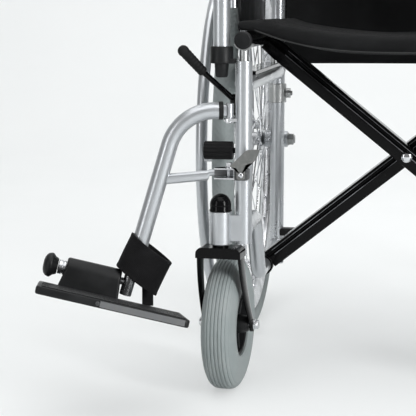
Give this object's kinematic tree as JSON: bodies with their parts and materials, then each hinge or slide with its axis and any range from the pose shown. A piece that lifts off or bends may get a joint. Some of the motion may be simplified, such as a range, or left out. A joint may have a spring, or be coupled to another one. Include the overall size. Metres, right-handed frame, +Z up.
{
  "type": "folding wheelchair",
  "caption": "Folding steel wheelchair with spoked self-propelling wheels, swivel casters, cross brace, lift-off arms and swing-away legrests.",
  "frame": {"origin": "on the floor, under the middle of the chair's overall box", "axes": "+Z up, the chair faces -Y, +X is the sitting person's left"},
  "size_m": [0.9412, 0.9076, 0.9163],
  "materials": {
    "silver_paint": "silver-grey gloss paint",
    "chrome": "bright plating",
    "zinc_plate": "zinc plated",
    "black_plastic": "moulded, fine grain",
    "black_enamel": "black gloss enamel",
    "black_rubber": "matt",
    "grey_tyre": "grey non-marking rubber",
    "black_nylon": "woven nylon"
  },
  "bodies": {
    "right_frame": {"right_side_frame": "silver_paint", "right_push_grip": "black_plastic", "right_caster_cap": "black_enamel", "right_arm_socket": "black_plastic", "right_brake_bracket": "black_plastic", "right_rear_axle": "chrome", "back_sling": "black_nylon"},
    "rear_brace": {"rear_brace": "black_enamel", "brace_bolt": "chrome", "left_rail_plug": "black_plastic", "seat_sling": "black_nylon"},
    "front_brace": {"front_brace": "black_enamel", "right_rail_plug": "black_plastic"},
    "left_frame": {"left_side_frame": "silver_paint", "left_push_grip": "black_plastic", "left_caster_cap": "black_enamel", "left_arm_socket": "black_plastic", "left_brake_bracket": "black_plastic", "left_rear_axle": "chrome"},
    "left_rear_wheel": {"left_rear_wheel": "chrome", "left_rear_tyre": "grey_tyre", "left_hand_rim": "silver_paint"},
    "left_caster": {"left_caster_fork": "black_enamel", "left_caster_axle": "chrome"},
    "left_caster_wheel": {"left_caster_core": "black_plastic", "left_caster_tyre": "grey_tyre"},
    "left_armrest": {"left_armrest_frame": "silver_paint", "left_arm_pad": "black_plastic", "left_side_panel": "black_plastic"},
    "left_brake_lever": {"left_brake_lever": "black_enamel", "left_brake_grip": "black_rubber"},
    "left_brake_arm": {"left_brake_arm": "black_enamel", "left_brake_shoe": "black_rubber"},
    "left_latch": {"left_legrest_latch": "zinc_plate"},
    "left_legrest": {"left_legrest_hanger": "silver_paint", "left_footplate_tube": "chrome", "left_footplate_knob": "black_plastic", "left_heel_loop": "black_nylon"},
    "left_footplate": {"left_footplate": "black_plastic"},
    "right_rear_wheel": {"right_rear_wheel": "chrome", "right_rear_tyre": "grey_tyre", "right_hand_rim": "silver_paint"},
    "right_caster": {"right_caster_fork": "black_enamel", "right_caster_axle": "chrome"},
    "right_caster_wheel": {"right_caster_core": "black_plastic", "right_caster_tyre": "grey_tyre"},
    "right_armrest": {"right_armrest_frame": "silver_paint", "right_arm_pad": "black_plastic", "right_side_panel": "black_plastic"},
    "right_brake_lever": {"right_brake_lever": "black_enamel", "right_brake_grip": "black_rubber"},
    "right_brake_arm": {"right_brake_arm": "black_enamel", "right_brake_shoe": "black_rubber"},
    "right_latch": {"right_legrest_latch": "zinc_plate"},
    "right_legrest": {"right_legrest_hanger": "silver_paint", "right_footplate_tube": "chrome", "right_footplate_knob": "black_plastic", "right_heel_loop": "black_nylon"},
    "right_footplate": {"right_footplate": "black_plastic"}
  },
  "joints": [
    {"name": "fold", "type": "hinge", "parent": "right_frame", "child": "rear_brace", "pos_m": [-0.2075, -0.0487, 0.137], "axis": [0, -1, 0], "range_deg": [0, 37], "deforming": ["seat_sling", "back_sling"]},
    {"name": "scissor", "type": "hinge", "parent": "rear_brace", "child": "front_brace", "pos_m": [0, -0.0487, 0.3045], "axis": [0, -1, 0], "range_deg": [-75, 0]},
    {"name": "left_fold", "type": "hinge", "parent": "front_brace", "child": "left_frame", "pos_m": [0.2075, -0.0487, 0.137], "axis": [0, -1, 0], "range_deg": [0, 37.5]},
    {"name": "left_rear_wheel_turn", "type": "hinge", "parent": "left_frame", "child": "left_rear_wheel", "pos_m": [0.2537, 0.1488, 0.305], "axis": [1, 0, 0], "continuous": true},
    {"name": "left_caster_swivel", "type": "hinge", "parent": "left_frame", "child": "left_caster", "pos_m": [0.2367, -0.2706, 0.225], "axis": [0, 0, -1], "range_deg": [-160, 40]},
    {"name": "left_caster_turn", "type": "hinge", "parent": "left_caster", "child": "left_caster_wheel", "pos_m": [0.23285, -0.22276, 0.089], "axis": [0.9968, 0.0802, 0], "continuous": true},
    {"name": "left_armrest_lift", "type": "slide", "parent": "left_frame", "child": "left_armrest", "axis": [0, 0, 1], "range_m": [0, 0.15]},
    {"name": "left_brake_lever_turn", "type": "hinge", "parent": "left_frame", "child": "left_brake_lever", "pos_m": [0.2186, -0.2172, 0.377], "axis": [-1, 0, 0], "range_deg": [0, 45]},
    {"name": "left_brake_arm_turn", "type": "hinge", "parent": "left_frame", "child": "left_brake_arm", "pos_m": [0.2186, -0.1972, 0.366], "axis": [1, 0, 0], "range_deg": [0, 13.1]},
    {"name": "left_latch_turn", "type": "hinge", "parent": "left_frame", "child": "left_latch", "pos_m": [0.2075, -0.2883, 0.3], "axis": [0, -1, 0], "range_deg": [0, 20], "stiffness_Nm_per_rad": 0.05, "springref_deg": -17.19},
    {"name": "left_legrest_swing", "type": "hinge", "parent": "left_frame", "child": "left_legrest", "pos_m": [0.2263, -0.2632, 0.33], "axis": [0, 0, -1], "range_deg": [-10, 77]},
    {"name": "left_footplate_flip", "type": "hinge", "parent": "left_legrest", "child": "left_footplate", "pos_m": [0.3557, -0.29308, 0.155], "axis": [-0.9454, 0.2183, -0.2419], "range_deg": [0, 74]},
    {"name": "right_rear_wheel_turn", "type": "hinge", "parent": "right_frame", "child": "right_rear_wheel", "pos_m": [-0.2537, 0.1488, 0.305], "axis": [1, 0, 0], "continuous": true},
    {"name": "right_caster_swivel", "type": "hinge", "parent": "right_frame", "child": "right_caster", "pos_m": [-0.2367, -0.2706, 0.225], "axis": [0, 0, 1], "range_deg": [-160, 40]},
    {"name": "right_caster_turn", "type": "hinge", "parent": "right_caster", "child": "right_caster_wheel", "pos_m": [-0.23285, -0.22276, 0.089], "axis": [0.9968, -0.0802, 0], "continuous": true},
    {"name": "right_armrest_lift", "type": "slide", "parent": "right_frame", "child": "right_armrest", "axis": [0, 0, 1], "range_m": [0, 0.15]},
    {"name": "right_brake_lever_turn", "type": "hinge", "parent": "right_frame", "child": "right_brake_lever", "pos_m": [-0.2186, -0.2172, 0.377], "axis": [-1, 0, 0], "range_deg": [0, 45]},
    {"name": "right_brake_arm_turn", "type": "hinge", "parent": "right_frame", "child": "right_brake_arm", "pos_m": [-0.2186, -0.1972, 0.366], "axis": [1, 0, 0], "range_deg": [0, 13.1]},
    {"name": "right_latch_turn", "type": "hinge", "parent": "right_frame", "child": "right_latch", "pos_m": [-0.2075, -0.2883, 0.3], "axis": [0, 1, 0], "range_deg": [0, 20], "stiffness_Nm_per_rad": 0.05, "springref_deg": -17.19},
    {"name": "right_legrest_swing", "type": "hinge", "parent": "right_frame", "child": "right_legrest", "pos_m": [-0.2263, -0.2632, 0.33], "axis": [0, 0, 1], "range_deg": [-10, 77]},
    {"name": "right_footplate_flip", "type": "hinge", "parent": "right_legrest", "child": "right_footplate", "pos_m": [-0.3557, -0.29308, 0.155], "axis": [-0.9454, -0.2183, 0.2419], "range_deg": [0, 74]}
  ],
  "couplings": [
    {"joint": "scissor", "follows": "fold", "ratio": -2},
    {"joint": "left_fold", "follows": "fold", "ratio": 1},
    {"joint": "left_brake_arm_turn", "follows": "left_brake_lever_turn", "ratio": 0.29},
    {"joint": "right_brake_arm_turn", "follows": "right_brake_lever_turn", "ratio": 0.29}
  ]
}
